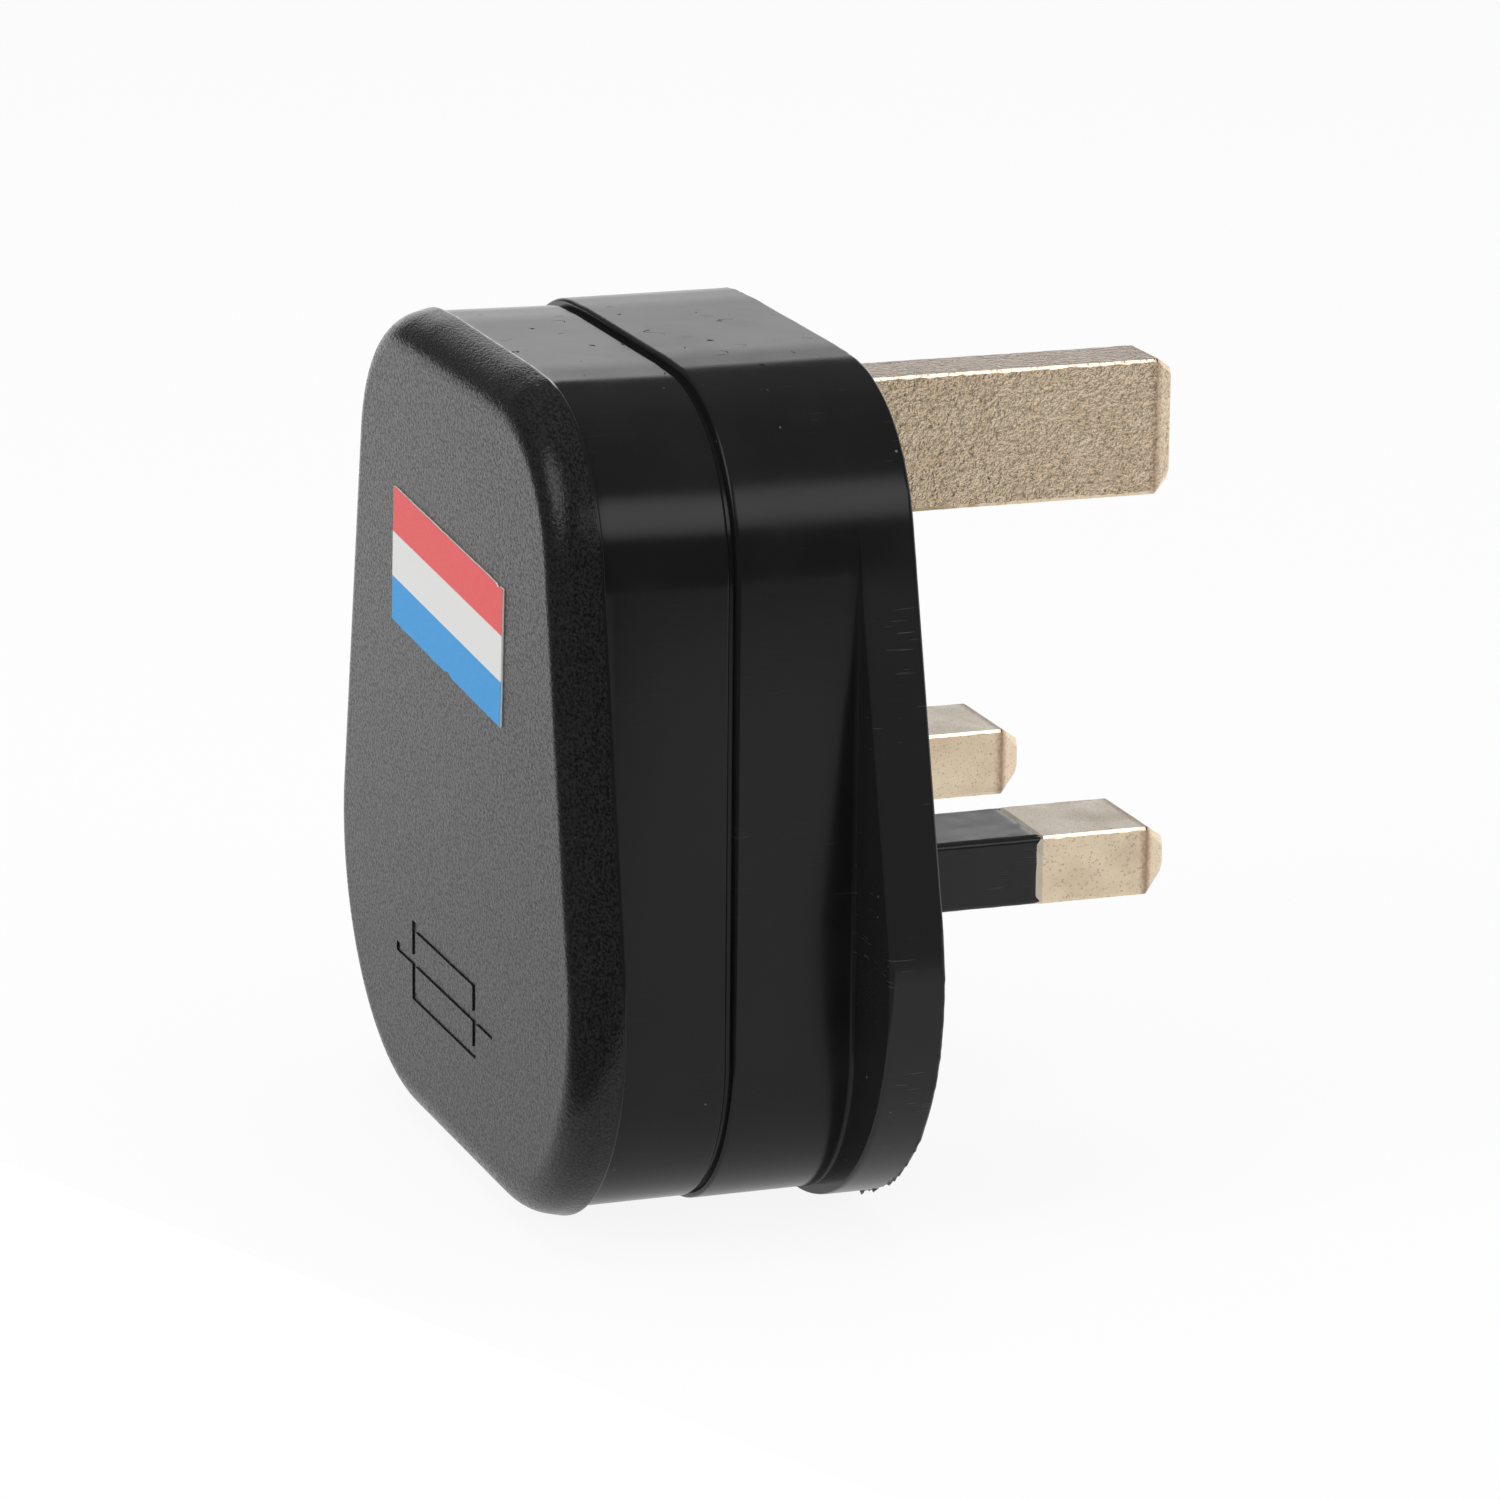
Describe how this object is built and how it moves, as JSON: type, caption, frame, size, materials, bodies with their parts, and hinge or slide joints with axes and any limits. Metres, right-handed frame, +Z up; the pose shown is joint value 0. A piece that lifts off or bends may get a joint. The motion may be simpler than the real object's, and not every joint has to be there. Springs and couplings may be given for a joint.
{
  "type": "uk three pin plug",
  "caption": "Black fused mains plug with a waisted two-part housing, a finger flange, flat brass pins with insulating sleeves and a cord entry in its base.",
  "frame": {"origin": "on the pin face, midway between the live and neutral pins", "axes": "+Y out of the pin face along the pins, +Z up towards the earth pin, +X towards the live pin"},
  "size_m": [0.05, 0.0434, 0.0482],
  "materials": {
    "housing_gloss": "smooth black moulding",
    "housing_matte": "black moulding with a fine grain on the front",
    "label": "printed bands",
    "pin_brass": "cast and brushed",
    "terminal_brass": "plain",
    "sleeve": "semi-gloss black",
    "screw_steel": "zinc plated",
    "fibre": "pressed fibre",
    "fuse_ceramic": "unglazed"
  },
  "bodies": {
    "root": {"base": "housing_gloss", "cover": "housing_matte", "rating_label": "label", "cover_screw": "screw_steel", "screw_retainer": "fibre", "cover_insert": "terminal_brass", "earth_pin": "pin_brass", "earth_terminal_screw": "screw_steel", "neutral_pin": "pin_brass", "neutral_sleeve": "sleeve", "neutral_terminal_screw": "screw_steel", "live_pin": "pin_brass", "live_sleeve": "sleeve", "live_terminal": "terminal_brass", "live_terminal_screw": "screw_steel", "fuse_clip_lower": "terminal_brass", "fuse_clip_upper": "terminal_brass", "fuse_tube": "fuse_ceramic", "fuse_cap_lower": "screw_steel", "fuse_cap_upper": "screw_steel", "cord_grip": "fibre", "cord_grip_screws": "screw_steel"}
  },
  "joints": []
}
